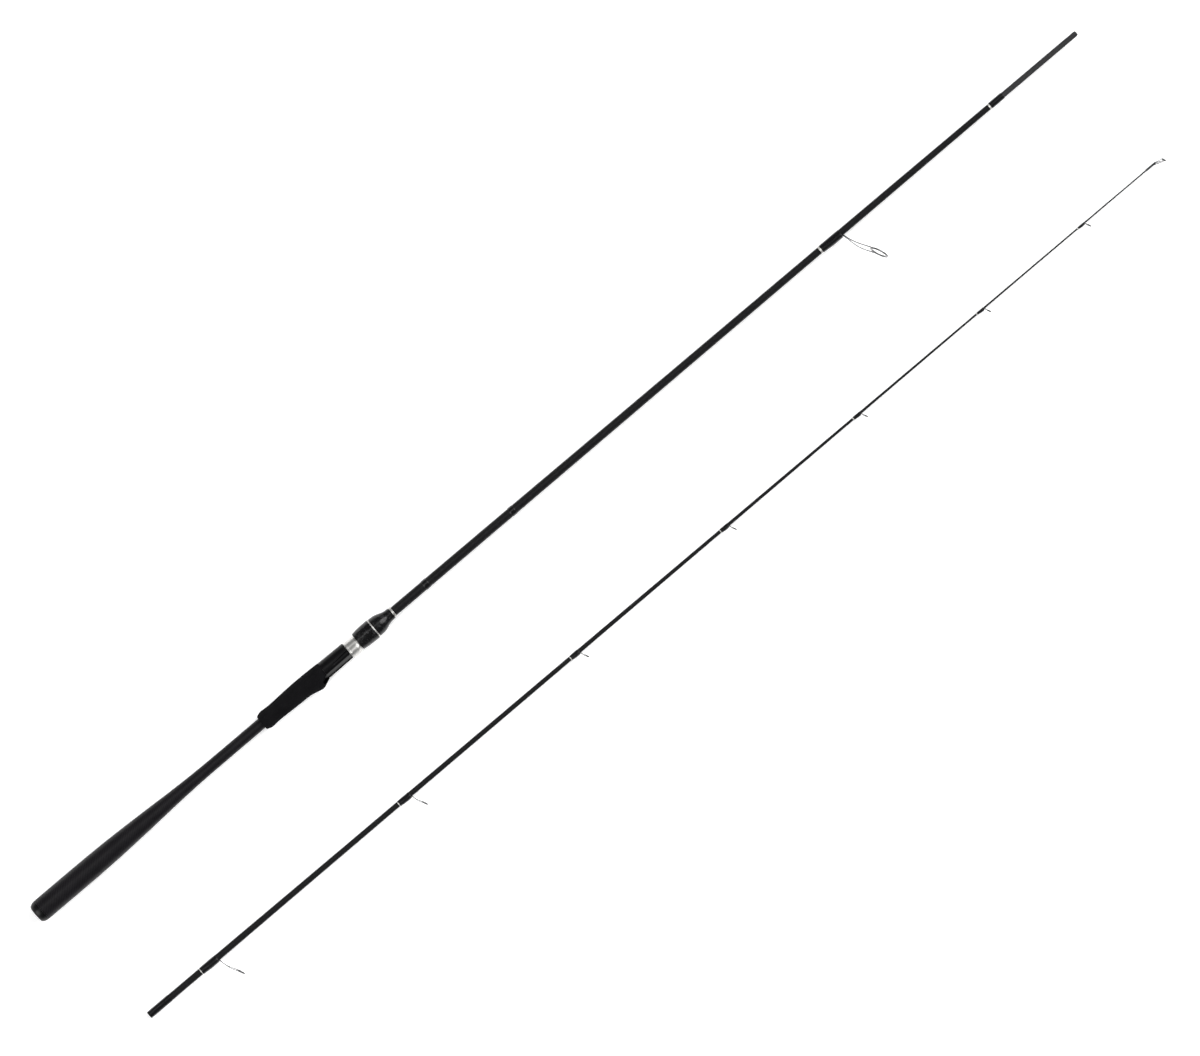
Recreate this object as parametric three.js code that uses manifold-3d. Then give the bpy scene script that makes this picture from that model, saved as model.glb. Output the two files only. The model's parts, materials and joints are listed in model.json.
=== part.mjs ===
// Two-piece spinning rod, 3.05 m long when joined, laid out with its two sections side by side.
//
// Frame: millimetres, +Z up. Both sections lie along +X, butt to tip, above the floor at z = 0.
// The origin is on the floor, under the middle of the object's box.
// Each section is modelled about its own axis, with its line guides and its reel seat facing -Y.
// The section is then rolled about that axis, so that the guides point sideways and a little up.

import * as THREE from "three";
import { mergeVertices } from "three/addons/utils/BufferGeometryUtils.js";
import Module from "manifold-3d";

const wasm = await Module();
wasm.setup();

// ---- Driving dimensions ------------------------------------------------------------------

const BUTT_LENGTH = 1603;
const FERRULE_ENGAGEMENT = 113;
const ROLL = THREE.MathUtils.degToRad(26);
const SECTION_SPACING = 176.5;
const TIP_SECTION_START = 24.4;

const GAP = 0.1;
const CLEARANCE = 0.3;
const GRIP_SIDES = 20;
const BLANK_SIDES = 16;
const TIP_SIDES = 12;

// Rear grip and blank, as [x, radius] along the butt section.
const GRIP_MAX_RADIUS = 13.8;
const CAP_LENGTH = 9;
const TUBE_END = 352;
const TUBE_WALL = 1.3;
const BLANK_START = 27;
const SPIGOT_LENGTH = 15;
const FERRULE_SHOULDER = BUTT_LENGTH - FERRULE_ENGAGEMENT;
const MALE_ROOT_RADIUS = 3.4;
const MALE_TIP_RADIUS = 3.25;
const BUTT_BLANK = [
  [BLANK_START, 5.9],
  [345, 5.9],
  [575, 5.82],
  [705, 5.6],
  [823, 5.3],
  [941, 4.95],
  [1058, 4.7],
  [1176, 4.45],
  [1293, 4.2],
  [1411, 3.8],
  [FERRULE_SHOULDER, 3.55],
];
const REAR_TUBE = [
  [CAP_LENGTH + CLEARANCE, 13.8],
  [50, 13.75],
  [88, 13.6],
  [122, 12.9],
  [150, 11.7],
  [183, 10.3],
  [212, 8.6],
  [240, 7.5],
  [268, 7.05],
  [TUBE_END, 6.85],
];

// Foam grip over the back of the reel seat.
const FOAM_START = 348;
const FOAM_END = 443.2;
const HOOD_PEAK = 430;

// Reel seat. The bed is the flat that the reel foot sits on.
const SEAT_START = 381;
const CRADLE_START = 443.5;
const CRADLE_END = 480.3;
const BARREL_END = 530;
const SEAT_BORE = 6.8;
const BARREL_RADIUS = 8.15;
const BED_HEIGHT = 8;
const FOOT_WIDTH = 12;
const KEYWAY_FLOOR = 7.25;
const KEYWAY_WIDTH = 3.4;
const KEY_WIDTH = 2.7;
const KEY_HEIGHT = 1.4;

// Finger scoops in both sides of the cradle, cut by an ellipsoid.
const SCOOP_CENTRE = [484, -7.6, 9.2];
const SCOOP_RADII = [28, 4.6, 3];

// Rings that centre the grip tube and the seat on the blank, and the two bands ahead of the seat.
const BLANK_HOLE = 6;
const SEAT_ARBOR_STARTS = [388, 446, 500];
const SEAT_ARBOR_LENGTH = 22;
const THREAD_BAND_MIDDLES = [601, 734];

// Screw thread between the barrel and the lock nut.
const THREAD_START = 498;
const THREAD_PITCH = 3;
const THREAD_DEPTH = 0.4;
const BARREL_THREAD = 7.8;
const NUT_THREAD = 8.25;
const THREAD_ROWS = 4;
const NUT_THREAD_LENGTH = 13;

// Moving hood and lock nut, at the closed end of their travel.
const HOOD_START = 480.6;
const HOOD_END = 495.3;
const HOOD_BORE = 8.55;
const HOOD_RADIUS = 9.4;
const HOOD_BULGE = 3;
const LIP_RADIUS = 9.75;
const LIP_NECK = 9.05;
const NUT_START = 495.8;
const NUT_SPLIT = 519.5;
const NUT_SLEEVE_END = 531;
const NUT_END = 548.6;
const NUT_CORE = 10.4;

// Tip section: blank as [x, radius] from its open end.
const SOCKET_LENGTH = 130;
const SOCKET_DEPTH = 119;
const SOCKET_WALL_RADIUS = 4.25;
const FEMALE_WRAP_LENGTH = 32;
const FEMALE_WRAP_RADIUS = 4.65;
const TIP_BLANK = [
  [SOCKET_LENGTH + CLEARANCE, 4.05],
  [240, 3.65],
  [420, 3.25],
  [610, 2.85],
  [800, 2.4],
  [960, 1.95],
  [1100, 1.6],
  [1210, 1.3],
  [1310, 1.1],
  [1420, 0.95],
  [1549, 0.8],
];

// Line guides. root is where the legs leave the wrap, height is from the blank's axis to the
// ring's centre, ring is the ceramic ring's outer radius.
const GUIDE_LEAN = THREE.MathUtils.degToRad(25);
const GUIDE_LEAD = 0.4;
const LEG_SPLAY = 0.65;
const STRIPPER = { root: 1239, wrap: 29.5, height: 52.3, ring: 10.8, sides: 24 };
const TIP_GUIDES = [
  { root: 104.4, wrap: 24, height: 34, ring: 5, sides: 20 },
  { root: 402, wrap: 17, height: 21.3, ring: 3.7, sides: 16 },
  { root: 662.6, wrap: 12.5, height: 11.8, ring: 2.75, sides: 14 },
  { root: 892.5, wrap: 11.3, height: 9.4, ring: 2.6, sides: 14 },
  { root: 1096.4, wrap: 10.5, height: 8.2, ring: 2.5, sides: 14 },
  { root: 1286.9, wrap: 10.5, height: 7.4, ring: 2.4, sides: 14 },
  { root: 1441.9, wrap: 9.7, height: 6.6, ring: 2.4, sides: 14 },
];
const TIP_TOP = { start: 1537, tube: 13, lead: 11, height: 4, ring: 2.4, wire: 0.33, sides: 14 };

// ---- Materials ---------------------------------------------------------------------------

const finish = (color, roughness, metalness) => () =>
  new THREE.MeshStandardMaterial({ color, roughness, metalness });
const carbonWeave = finish(0x1d1c1e, 0.5, 0.1);
const satinCarbon = finish(0x29292b, 0.35, 0.1);
const foam = finish(0x131313, 0.95, 0);
const gloss = finish(0x0b0b0c, 0.12, 0);
const forgedCarbon = finish(0x161618, 0.18, 0.1);
const silver = finish(0xc9cac8, 0.2, 1);
const gunmetal = finish(0x6a6c70, 0.3, 0.9);
const ceramic = finish(0x1b1c1f, 0.1, 0);
const cork = finish(0x6d5a41, 0.9, 0);

// ---- Geometry helpers --------------------------------------------------------------------

// Signed area of a closed outline: positive when it runs anticlockwise.
function outlineArea(outline) {
  return outline.reduce((sum, [x, r], i) => {
    const [nextX, nextR] = outline[(i + 1) % outline.length];
    return sum + (x * nextR - nextX * r) / 2;
  }, 0);
}

// A body turned about X from an outline of [x, radius]. An outline with no point on the axis
// is closed into a ring. A corner of each facet lies on the -Y side.
function turned(outline, sides) {
  const ordered = outlineArea(outline) < 0 ? [...outline] : [...outline].reverse();
  const solidCentre = ordered.some(([, r]) => r === 0);
  if (solidCentre) {
    while (ordered[0][1] !== 0 || ordered[ordered.length - 1][1] !== 0) {
      ordered.push(ordered.shift());
    }
  } else {
    ordered.push(ordered[0]);
  }
  const points = ordered.map(([x, r]) => new THREE.Vector2(r, x));
  return new THREE.LatheGeometry(points, sides).rotateZ(-Math.PI / 2);
}

// Moves each vertex in or out from the X axis. radiusAt gets x, the radius, the angle about +X
// and the angle away from the -Y side.
function reshaped(geometry, radiusAt) {
  const place = geometry.getAttribute("position");
  for (let i = 0; i < place.count; i += 1) {
    const x = place.getX(i);
    const y = place.getY(i);
    const z = place.getZ(i);
    const radius = Math.hypot(y, z);
    if (radius > 1e-6) {
      const angle = Math.atan2(z, y);
      const fromFoot = Math.abs(Math.atan2(z, -y));
      const scale = radiusAt(x, radius, angle, fromFoot) / radius;
      place.setXYZ(i, x, y * scale, z * scale);
    }
  }
  return geometry;
}

// Straight-line interpolation along a list of [x, value].
function along(stations, x) {
  const last = stations.length - 1;
  if (x <= stations[0][0]) return stations[0][1];
  if (x >= stations[last][0]) return stations[last][1];
  const i = stations.findIndex(([place]) => place > x);
  const [x0, v0] = stations[i - 1];
  const [x1, v1] = stations[i];
  return v0 + ((v1 - v0) * (x - x0)) / (x1 - x0);
}

// 1 inside the angle full, falling smoothly to 0 at the angle none.
const bulge = (angle, full, none) => 1 - THREE.MathUtils.smoothstep(angle, full, none);

// A flat outline of [x, y], extruded evenly about z = 0.
function plate(outline, width) {
  const shape = new THREE.Shape(outline.map(([x, y]) => new THREE.Vector2(x, y)));
  const slab = new THREE.ExtrudeGeometry(shape, { depth: width, bevelEnabled: false });
  return slab.translate(0, 0, -width / 2);
}

// A round wire along a smooth curve through the points.
function wire(points, radius) {
  const curve = new THREE.CatmullRomCurve3(points);
  const section = new THREE.Shape().absarc(0, 0, radius, 0, 2 * Math.PI);
  const shape = { extrudePath: curve, steps: 5, curveSegments: 3, bevelEnabled: false };
  return new THREE.ExtrudeGeometry(section, shape);
}

// A three.js geometry as a manifold-3d solid, and back.
function toSolid(geometry) {
  const bare = geometry.index ? geometry.toNonIndexed() : geometry.clone();
  bare.deleteAttribute("normal");
  bare.deleteAttribute("uv");
  const merged = mergeVertices(bare, 1e-4);
  const vertProperties = merged.getAttribute("position").array;
  const triVerts = new Uint32Array(merged.index.array);
  return new wasm.Manifold(new wasm.Mesh({ numProp: 3, vertProperties, triVerts }));
}

function toGeometry(solid) {
  const mesh = solid.getMesh();
  const geometry = new THREE.BufferGeometry();
  geometry.setAttribute("position", new THREE.BufferAttribute(mesh.vertProperties, 3));
  geometry.setIndex(new THREE.BufferAttribute(mesh.triVerts, 1));
  geometry.computeVertexNormals();
  return geometry;
}

const joined = (...parts) =>
  toGeometry(parts.map(toSolid).reduce((whole, part) => whole.add(part)));

const cut = (body, ...tools) =>
  toGeometry(tools.map(toSolid).reduce((rest, tool) => rest.subtract(tool), toSolid(body)));

function add(group, name, geometry, material) {
  const mesh = new THREE.Mesh(geometry, material());
  mesh.name = name;
  group.add(mesh);
}

// ---- Butt section: blank and rear grip ---------------------------------------------------

const buttRadius = (x) => along(BUTT_BLANK, x);

function buttBlank() {
  const ferruleFront = BUTT_LENGTH - 3;
  return turned(
    [
      ...BUTT_BLANK,
      [FERRULE_SHOULDER + 1, MALE_ROOT_RADIUS],
      [ferruleFront, MALE_TIP_RADIUS],
      [BUTT_LENGTH, MALE_TIP_RADIUS - 0.7],
      [BUTT_LENGTH, 0],
      [BUTT_LENGTH - 12, 0],
      [BUTT_LENGTH - 12, 2.1],
      [FERRULE_SHOULDER, 2.4],
      [1000, 3.7],
      [BLANK_START, 4.7],
    ],
    BLANK_SIDES,
  );
}

const tubeBore = (x) => Math.max(along(REAR_TUBE, x) - TUBE_WALL, 6.02);

function rearGripTube() {
  const bore = REAR_TUBE.map(([x]) => [x, tubeBore(x)]).reverse();
  return turned([...REAR_TUBE, ...bore], GRIP_SIDES);
}

// The cap's flat end is where the rod stands on the ground.
function buttCap() {
  const spigot = tubeBore(CAP_LENGTH) - GAP;
  return turned(
    [
      [0, 0],
      [0, 9],
      [1, 11.2],
      [2.6, 12.6],
      [5, 13.5],
      [CAP_LENGTH, GRIP_MAX_RADIUS],
      [CAP_LENGTH, spigot],
      [CAP_LENGTH + SPIGOT_LENGTH, spigot],
      [CAP_LENGTH + SPIGOT_LENGTH, 0],
    ],
    GRIP_SIDES,
  );
}

// A ring that centres one tube in another.
function arbor(start, end, inner, outer, sides) {
  return turned(
    [
      [start, outer],
      [end, outer],
      [end, inner],
      [start, inner],
    ],
    sides,
  );
}

// ---- Reel seat ---------------------------------------------------------------------------

const FOAM_OUTSIDE = [
  [FOAM_START, 9.3],
  [353, 11.2],
  [357, 11.7],
  [367, 11],
  [381, 11.4],
  [397, 12],
  [411, 12.2],
  [417, 12.2],
  [422, 12.1],
  [426, 12],
  [HOOD_PEAK, 11.9],
  [434, 11.8],
  [439, 11.6],
  [FOAM_END, 11.4],
];
const FOAM_BUMP = [
  [411, 0],
  [420, 1.9],
  [426, 3.6],
  [HOOD_PEAK, 4.3],
  [434, 3.4],
  [439, 1.4],
  [FOAM_END, 0],
];
const HOOD_BUMP = [
  [417, 0],
  [422, 2.2],
  [428, 3.7],
  [432, 3.5],
  [437, 1.8],
  [441, 0.6],
  [FOAM_END, 0],
];
const FIXED_HOOD_RADIUS = 9.8;

// How far the bump of the seat's fixed hood, and of the foam over it, stands up on the foot side.
const hoodRise = (x, fromFoot) => along(HOOD_BUMP, x) * bulge(fromFoot, 0.6, 1.5);
const foamRise = (x, fromFoot) => along(FOAM_BUMP, x) * bulge(fromFoot, 0.5, 1.6);

// The space that the reel foot goes into, seen from the side: a pocket under the fixed hood,
// then the open bed, then a flat on the barrel where the moving hood comes over the foot.
function footSpace() {
  const clear = -24;
  return plate(
    [
      [427, -BED_HEIGHT],
      [THREAD_START, -BED_HEIGHT],
      [THREAD_START, clear],
      [438, clear],
      [433, -12],
      [427, -10.4],
    ],
    FOOT_WIDTH,
  );
}

const threadWave = (x, angle) =>
  THREAD_DEPTH * Math.cos(2 * Math.PI * (x / THREAD_PITCH) - angle);

function threadStations(start, end, radius) {
  const rows = Math.round(((end - start) * THREAD_ROWS) / THREAD_PITCH);
  return Array.from({ length: rows + 1 }, (_, i) => [
    start + ((end - start) * i) / rows,
    radius,
  ]);
}

function scoop(side) {
  const [x, y, z] = SCOOP_CENTRE;
  const ellipsoid = new THREE.SphereGeometry(1, 16, 12).rotateZ(Math.PI / 2);
  return ellipsoid.scale(...SCOOP_RADII).translate(x, y, side * z);
}

function reelSeatBody() {
  const hoodStations = HOOD_BUMP.map(([x]) => [x, FIXED_HOOD_RADIUS]);
  const body = turned(
    [
      [SEAT_START, 9.3],
      [410, 9.4],
      ...hoodStations,
      [CRADLE_START, 11.15],
      [460, 10.9],
      [CRADLE_END - 1, 10.65],
      [CRADLE_END, 10.2],
      [CRADLE_END, BARREL_RADIUS],
      [THREAD_START, BARREL_RADIUS],
      ...threadStations(THREAD_START, BARREL_END, BARREL_THREAD),
      [BARREL_END, SEAT_BORE],
      [SEAT_START, SEAT_BORE],
    ],
    GRIP_SIDES,
  );
  reshaped(body, (x, radius, angle, fromFoot) => {
    if (radius < SEAT_BORE + 0.01) return radius;
    if (x < CRADLE_START && radius < 10) return radius + hoodRise(x, fromFoot);
    const threaded = Math.abs(radius - BARREL_THREAD) < 0.01;
    return threaded ? radius + threadWave(x, angle) : radius;
  });
  const depth = 6;
  const keyway = new THREE.BoxGeometry(BARREL_END - CRADLE_END + 2, depth, KEYWAY_WIDTH);
  keyway.translate((BARREL_END + CRADLE_END) / 2 + 1.1, KEYWAY_FLOOR + depth / 2, 0);
  return cut(body, footSpace(), keyway, scoop(1), scoop(-1));
}

function rearFoamGrip() {
  const bore = 7;
  const hoodBore = FIXED_HOOD_RADIUS + 2 * CLEARANCE;
  const counterbore = HOOD_BUMP.map(([x]) => [x, hoodBore]).reverse();
  const body = turned(
    [
      ...FOAM_OUTSIDE,
      ...counterbore,
      [SEAT_START - CLEARANCE, 9.7],
      [SEAT_START - CLEARANCE, bore],
      [FOAM_START, bore],
    ],
    GRIP_SIDES,
  );
  reshaped(body, (x, radius, angle, fromFoot) => {
    const inside = radius < hoodBore + 0.05 && x > SEAT_START;
    if (inside) return radius + hoodRise(x, fromFoot);
    return x < 400 ? radius : radius + foamRise(x, fromFoot);
  });
  return cut(body, footSpace());
}

// Soft pad on the ceiling of the fixed hood's pocket.
function fixedHoodPad() {
  return plate(
    [
      [427.6, -10],
      [432.6, -11.4],
      [432.6, -10.7],
      [427.6, -9.3],
    ],
    FOOT_WIDTH - 3,
  );
}

// ---- Moving hood and lock nut ------------------------------------------------------------

// The hood slides on the barrel. A key runs in the barrel's keyway, and a lip at its front end
// is held in the nut's groove, so that the turning nut carries the hood along.
function movingHood() {
  const body = turned(
    [
      [HOOD_START, HOOD_RADIUS + 0.25],
      [HOOD_START + 1.6, HOOD_RADIUS + 0.25],
      [HOOD_START + 2, HOOD_RADIUS],
      [HOOD_END - 3, HOOD_RADIUS],
      [HOOD_END, HOOD_RADIUS - 0.3],
      [HOOD_END, LIP_NECK],
      [HOOD_END + 1.8, LIP_NECK],
      [HOOD_END + 1.8, LIP_RADIUS],
      [HOOD_END + 3, LIP_RADIUS],
      [HOOD_END + 3, HOOD_BORE],
      [HOOD_START, HOOD_BORE],
    ],
    GRIP_SIDES,
  );
  const swell = [
    [HOOD_START, HOOD_BULGE],
    [HOOD_START + 2, HOOD_BULGE],
    [HOOD_END - 3, HOOD_BULGE - 0.6],
    [HOOD_END, 0.9],
  ];
  reshaped(body, (x, radius, angle, fromFoot) => {
    const skin = radius > LIP_NECK + 0.01 && x < HOOD_END + 0.01;
    return skin ? radius + along(swell, x) * bulge(fromFoot, 0.55, 1.3) : radius;
  });
  const pocket = plate(
    [
      [HOOD_START - 1, -BED_HEIGHT],
      [HOOD_END - 3, -BED_HEIGHT],
      [HOOD_END - 3, -10.3],
      [HOOD_START - 1, -11.2],
    ],
    FOOT_WIDTH - 1,
  );
  const key = new THREE.BoxGeometry(HOOD_END - HOOD_START - 3, KEY_HEIGHT, KEY_WIDTH);
  key.translate((HOOD_START + HOOD_END) / 2, HOOD_BORE + 0.5 - KEY_HEIGHT / 2, 0);
  return toGeometry(toSolid(body).subtract(toSolid(pocket)).add(toSolid(key)));
}

function movingHoodPad() {
  return plate(
    [
      [HOOD_START + 0.6, -10.8],
      [HOOD_END - 3.4, -10],
      [HOOD_END - 3.4, -9.4],
      [HOOD_START + 0.6, -10.1],
    ],
    FOOT_WIDTH - 3.5,
  );
}

// The nut's core: a groove that holds the hood's lip, the internal thread, then a smooth bore.
function nutSleeve() {
  const threadStart = NUT_START + 3.4;
  const threadEnd = threadStart + NUT_THREAD_LENGTH;
  const groove = LIP_RADIUS + CLEARANCE;
  const neckHole = LIP_NECK + CLEARANCE;
  const body = turned(
    [
      [NUT_START, NUT_CORE],
      [NUT_SLEEVE_END, NUT_CORE],
      [NUT_SLEEVE_END, NUT_THREAD + 0.5],
      [threadEnd, NUT_THREAD + 0.5],
      ...threadStations(threadStart, threadEnd, NUT_THREAD).reverse(),
      [threadStart, groove],
      [NUT_START + 1, groove],
      [NUT_START + 1, neckHole],
      [NUT_START, neckHole],
    ],
    GRIP_SIDES,
  );
  return reshaped(body, (x, radius, angle) => {
    const threaded = Math.abs(radius - NUT_THREAD) < 0.01;
    return threaded ? radius + threadWave(x, angle) : radius;
  });
}

function foregripRear() {
  const bore = NUT_CORE + GAP;
  return turned(
    [
      [NUT_START, 11.25],
      [499, 11.8],
      [504, 12.35],
      [512, 12.8],
      [NUT_SPLIT - 0.6, 12.85],
      [NUT_SPLIT, 12.5],
      [NUT_SPLIT, bore],
      [NUT_START, bore],
    ],
    GRIP_SIDES,
  );
}

function foregripFront() {
  const bore = NUT_CORE + GAP;
  const mouth = 6.2;
  return turned(
    [
      [NUT_SPLIT + 2, 12.1],
      [524, 12],
      [529, 11.7],
      [533, 10.9],
      [536, 9.3],
      [539, 8.35],
      [542.5, 7.5],
      [NUT_END - 0.3, 7.1],
      [NUT_END - 0.3, mouth],
      [541, mouth],
      [NUT_SLEEVE_END + 2.5, 8.8],
      [NUT_SLEEVE_END + CLEARANCE, 9.2],
      [NUT_SLEEVE_END + CLEARANCE, bore],
      [NUT_SPLIT + 2, bore],
    ],
    GRIP_SIDES,
  );
}

// A ring with rounded edges.
function collar(start, end, inner, outer, sides) {
  const edge = Math.min(0.4, (outer - inner) / 2);
  return turned(
    [
      [start, outer - edge],
      [start + edge, outer],
      [end - edge, outer],
      [end, outer - edge],
      [end, inner],
      [start, inner],
    ],
    sides,
  );
}

// ---- Thread wraps and line guides --------------------------------------------------------

// A thread wrap on the blank. With a guide's foot under it, its -Y side stands up to clear it.
function wrap(start, end, radiusAt, thickness, sides, foot = null) {
  const length = end - start;
  const blank = radiusAt(end) + GAP;
  const halfWidth = foot ? foot.footWidth / 2 : 0;
  const corner = foot ? Math.hypot(blank + foot.footThickness, halfWidth) : blank;
  const lift = foot ? 1.05 * corner - blank + GAP : 0;
  const full = Math.atan2(halfWidth, blank) + 0.45;
  const rise = [
    [start, 0.35],
    [start + length / 2, 1],
    [end, 1],
  ];
  const outside = [
    [start, 0.5],
    [start + 0.15 * length, 1],
    [end - 0.1 * length, 1],
    [end, 0.55],
  ].map(([x, share]) => [x, radiusAt(x) + GAP + thickness * share]);
  const inside = [
    [end, radiusAt(end) + GAP],
    [start + length / 2, radiusAt(start + length / 2) + GAP],
    [start, radiusAt(start) + GAP],
  ];
  const body = turned([...outside, ...inside], sides);
  return reshaped(
    body,
    (x, radius, angle, fromFoot) =>
      radius + lift * along(rise, x) * bulge(fromFoot, full, full + 0.8),
  );
}

// Moves a ring turned about X to its place on a guide and leans it towards the tip.
function leaned(geometry, guide) {
  return geometry.rotateZ(GUIDE_LEAN).translate(guide.centre.x, guide.centre.y, 0);
}

// Adds what follows from a guide's size.
function guideSizes(guide, radiusAt) {
  const blank = radiusAt(guide.root);
  const lead = GUIDE_LEAD * (guide.height - blank);
  return {
    ...guide,
    blank,
    centre: new THREE.Vector3(guide.root + lead, -guide.height, 0),
    wireRadius: 0.24 + 0.038 * guide.ring,
    holder: guide.ring + 0.35 + 0.035 * guide.ring,
    holderWidth: 0.5 + 0.1 * guide.ring,
    footThickness: 0.35 + 0.045 * guide.ring,
    footWidth: 0.9 + 0.2 * guide.ring,
  };
}

// The ceramic ring: rounded inside, and lipped on both faces of its holder.
function guideRing(guide) {
  const outer = guide.ring - 0.06;
  const section = 0.45 + 0.12 * guide.ring;
  const half = guide.holderWidth / 2 + 0.15;
  const bore = outer - section;
  const body = turned(
    [
      [-half, outer - 0.1],
      [half, outer - 0.1],
      [half, bore + 0.45 * section],
      [0.55 * half, bore + 0.12 * section],
      [0, bore],
      [-0.55 * half, bore + 0.12 * section],
      [-half, bore + 0.45 * section],
    ],
    guide.sides,
  );
  return leaned(body, guide);
}

// A guide's frame: foot under the wrap, two splayed legs and the ring holder, in one piece.
function guideFrame(guide) {
  const { root, blank, centre, wireRadius, holder, holderWidth } = guide;
  const seat = -(blank + GAP);
  const top = seat - guide.footThickness;
  const back = root - 0.92 * guide.wrap;
  const legRoot = root + wireRadius + CLEARANCE;
  const foot = plate(
    [
      [back, seat],
      [legRoot + wireRadius, seat],
      [legRoot + wireRadius, top],
      [root - guide.wrap / 2, top],
      [back, seat - 0.3 * guide.footThickness],
    ],
    guide.footWidth,
  );
  const ring = leaned(
    turned(
      [
        [-holderWidth / 2, holder],
        [holderWidth / 2, holder],
        [holderWidth / 2, guide.ring],
        [-holderWidth / 2, guide.ring],
      ],
      guide.sides,
    ),
    guide,
  );
  const inPlane = new THREE.Vector3(Math.sin(GUIDE_LEAN), -Math.cos(GUIDE_LEAN), 0);
  const grip = holder - 0.15;
  const legs = [-1, 1].map((side) => {
    const start = new THREE.Vector3(legRoot, top + 0.5 * wireRadius, side * 0.25 * guide.footWidth);
    const end = centre.clone().addScaledVector(inPlane, -0.55 * grip);
    end.z = side * 0.835 * grip;
    const middle = start.clone().lerp(end, 0.5);
    middle.x -= 0.05 * guide.height;
    middle.z = side * (0.3 * guide.footWidth + LEG_SPLAY * grip);
    return wire([start, middle, end], wireRadius);
  });
  return joined(foot, ring, ...legs);
}

// ---- Tip section -------------------------------------------------------------------------

const tipRadius = (x) =>
  x < SOCKET_LENGTH ? SOCKET_WALL_RADIUS - (0.2 * x) / SOCKET_LENGTH : along(TIP_BLANK, x);

// The female ferrule: the open, reinforced end of the tip section's blank.
function ferruleSleeve() {
  const fit = 0.15;
  return turned(
    [
      [0, tipRadius(0)],
      [SOCKET_LENGTH, tipRadius(SOCKET_LENGTH - 0.01)],
      [SOCKET_LENGTH, 3.3],
      [SOCKET_DEPTH, 3.3],
      [FERRULE_ENGAGEMENT, MALE_TIP_RADIUS + fit],
      [0, MALE_ROOT_RADIUS + fit],
    ],
    BLANK_SIDES,
  );
}

function tipBlank() {
  const spigot = 3.2;
  return turned(
    [
      [SOCKET_DEPTH, spigot],
      [SOCKET_LENGTH + CLEARANCE, spigot],
      ...TIP_BLANK,
      [TIP_BLANK[TIP_BLANK.length - 1][0], 0],
      [1050, 0],
      [1050, 0.7],
      [610, 1.8],
      [SOCKET_DEPTH, 2.5],
    ],
    TIP_SIDES,
  );
}

const tipTopCentre = new THREE.Vector3(
  TIP_TOP.start + TIP_TOP.tube + TIP_TOP.lead,
  -TIP_TOP.height,
  0,
);
const tipTopGuide = {
  ...TIP_TOP,
  centre: tipTopCentre,
  holder: TIP_TOP.ring + 0.5,
  holderWidth: 0.9,
};

// The tip-top: a tube on the blank's end, two side wires and a curved brace to the ring holder.
function tipTopFrame() {
  const { start, tube, ring, holder, holderWidth, sides } = tipTopGuide;
  const end = start + tube;
  const bore = tipRadius(start) + GAP;
  const outer = bore + 0.4;
  const sleeve = turned(
    [
      [start, outer - 0.15],
      [start + 1, outer],
      [end + 1.5, outer],
      [end + 2, outer - 0.3],
      [end + 2, 0],
      [end, 0],
      [end, bore],
      [start, bore],
    ],
    TIP_SIDES,
  );
  const holderRing = leaned(
    turned(
      [
        [-holderWidth / 2, holder],
        [holderWidth / 2, holder],
        [holderWidth / 2, ring],
        [-holderWidth / 2, ring],
      ],
      sides,
    ),
    tipTopGuide,
  );
  const grip = holder + 0.2;
  const sideWires = [-1, 1].map((side) =>
    wire(
      [
        new THREE.Vector3(end + 0.6, 0, side * 0.6),
        new THREE.Vector3(end + 5, -1.2, side * 1.5),
        new THREE.Vector3(tipTopCentre.x - 0.2, tipTopCentre.y + 0.5, side * grip),
      ],
      TIP_TOP.wire,
    ),
  );
  const brace = wire(
    [
      new THREE.Vector3(end - 1.5, -outer + 0.2, 0),
      new THREE.Vector3(end + 4.5, -3.6, 0),
      new THREE.Vector3(
        tipTopCentre.x + grip * Math.sin(GUIDE_LEAN),
        tipTopCentre.y - grip * Math.cos(GUIDE_LEAN),
        0,
      ),
    ],
    TIP_TOP.wire,
  );
  return joined(sleeve, holderRing, ...sideWires, brace);
}

// ---- Assembly ----------------------------------------------------------------------------

const buttSection = new THREE.Group();
add(buttSection, "butt_blank", buttBlank(), satinCarbon);
add(buttSection, "rear_grip_tube", rearGripTube(), carbonWeave);
add(buttSection, "butt_cap", buttCap(), gloss);
add(buttSection, "rear_arbor", arbor(40, 80, BLANK_HOLE, 12.2, GRIP_SIDES), cork);
add(buttSection, "front_arbor", arbor(160, 180, BLANK_HOLE, 8.9, GRIP_SIDES), cork);
add(buttSection, "rear_foam_grip", rearFoamGrip(), foam);
add(buttSection, "reel_seat_body", reelSeatBody(), gloss);
add(buttSection, "fixed_hood_pad", fixedHoodPad(), foam);
SEAT_ARBOR_STARTS.forEach((start, i) => {
  const end = start + SEAT_ARBOR_LENGTH;
  const ring = arbor(start, end, BLANK_HOLE + 0.05, SEAT_BORE - GAP, GRIP_SIDES);
  add(buttSection, `seat_arbor_${i + 1}`, ring, cork);
});
THREAD_BAND_MIDDLES.forEach((middle, i) => {
  const band = wrap(middle - 3.5, middle + 3.5, buttRadius, 0.5, BLANK_SIDES);
  add(buttSection, `thread_band_${i + 1}`, band, gloss);
});

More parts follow.
